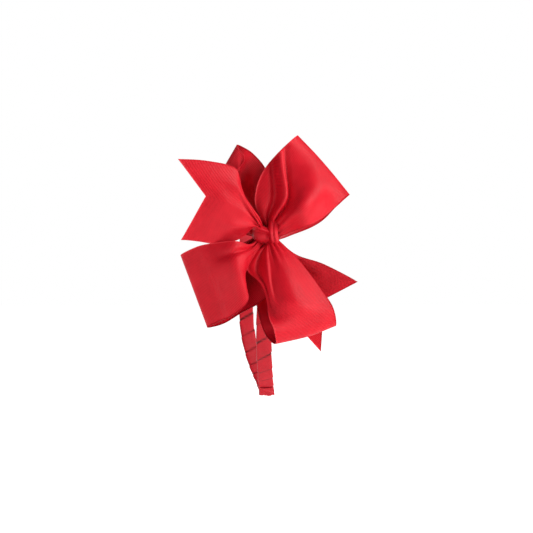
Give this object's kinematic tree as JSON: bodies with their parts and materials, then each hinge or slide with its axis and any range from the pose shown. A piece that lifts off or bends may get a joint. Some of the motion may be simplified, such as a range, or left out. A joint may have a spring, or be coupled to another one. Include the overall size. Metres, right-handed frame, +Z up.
{
  "type": "hair bow headband",
  "caption": "Narrow ribbon-wrapped headband with a large looped grosgrain bow and two V-cut tails on one side.",
  "frame": {"origin": "centre of the crown's arc, in the middle of the band's width", "axes": "+Z up to the crown's top, the two legs point down; X across the band's width; the bow is on the leg at -Y and faces -Y"},
  "size_m": [0.1324, 0.1814, 0.1912],
  "materials": {
    "wide_grosgrain": "red ribbed polyester ribbon, soft sheen",
    "narrow_grosgrain": "red ribbed narrow ribbon",
    "wrap_grosgrain": "red ribbed ribbon wound in slanting turns",
    "core_plastic": "plain moulded plastic",
    "thread": "polyester sewing thread",
    "glue": "clear hot-melt glue"
  },
  "bodies": {
    "crown": {"core_top": "core_plastic", "wrap_top": "wrap_grosgrain"},
    "near_side": {"core_near_side": "core_plastic", "wrap_near_side": "wrap_grosgrain", "tip_fold_near": "wrap_grosgrain", "pinch_pleats": "wide_grosgrain", "binding_thread": "thread", "knot_strap": "narrow_grosgrain", "knot": "narrow_grosgrain", "glue_pad": "glue"},
    "far_side": {"core_far_side": "core_plastic", "wrap_far_side": "wrap_grosgrain", "tip_fold_far": "wrap_grosgrain"},
    "loop_upper_right_ribbon": {"loop_upper_right": "wide_grosgrain"},
    "loop_upper_left_ribbon": {"loop_upper_left": "wide_grosgrain"},
    "loop_lower_left_ribbon": {"loop_lower_left": "wide_grosgrain"},
    "loop_lower_right_ribbon": {"loop_lower_right": "wide_grosgrain"},
    "tail_front_ribbon": {"tail_front": "wide_grosgrain"},
    "tail_rear_ribbon": {"tail_rear": "wide_grosgrain"}
  },
  "joints": [
    {"name": "near_side_flex", "type": "hinge", "parent": "crown", "child": "near_side", "pos_m": [0, -0.03188, 0.05521], "axis": [-1, 0, 0], "range_deg": [-4, 12], "stiffness_Nm_per_rad": 2},
    {"name": "far_side_flex", "type": "hinge", "parent": "crown", "child": "far_side", "pos_m": [0, 0.03188, 0.05521], "axis": [1, 0, 0], "range_deg": [-4, 12], "stiffness_Nm_per_rad": 2},
    {"name": "loop_upper_right_bend", "type": "hinge", "parent": "near_side", "child": "loop_upper_right_ribbon", "pos_m": [0.0009, -0.06264, 0.03], "axis": [-0.6545, 0.0804, 0.7518], "range_deg": [-8, 10], "stiffness_Nm_per_rad": 0.05},
    {"name": "loop_upper_left_bend", "type": "hinge", "parent": "near_side", "child": "loop_upper_left_ribbon", "pos_m": [0.0009, -0.06264, 0.03], "axis": [-0.4257, 0.4058, -0.8088], "range_deg": [0, 8], "stiffness_Nm_per_rad": 0.05},
    {"name": "loop_lower_left_bend", "type": "hinge", "parent": "near_side", "child": "loop_lower_left_ribbon", "pos_m": [0.0009, -0.06264, 0.03], "axis": [-0.3172, 0.2152, 0.9236], "range_deg": [0, 12], "stiffness_Nm_per_rad": 0.05},
    {"name": "loop_lower_right_bend", "type": "hinge", "parent": "near_side", "child": "loop_lower_right_ribbon", "pos_m": [0.0009, -0.06264, 0.03], "axis": [-0.92, -0.3402, -0.1949], "range_deg": [0, 15], "stiffness_Nm_per_rad": 0.05},
    {"name": "tail_front_bend", "type": "hinge", "parent": "near_side", "child": "tail_front_ribbon", "pos_m": [-0.00554, -0.0682, 0.02977], "axis": [-0.0406, 0.005, 0.9992], "range_deg": [0, 45], "stiffness_Nm_per_rad": 0.03},
    {"name": "tail_rear_bend", "type": "hinge", "parent": "near_side", "child": "tail_rear_ribbon", "pos_m": [0.00663, -0.05977, 0.02726], "axis": [0.4528, -0.0556, 0.8899], "range_deg": [0, 25], "stiffness_Nm_per_rad": 0.03}
  ]
}
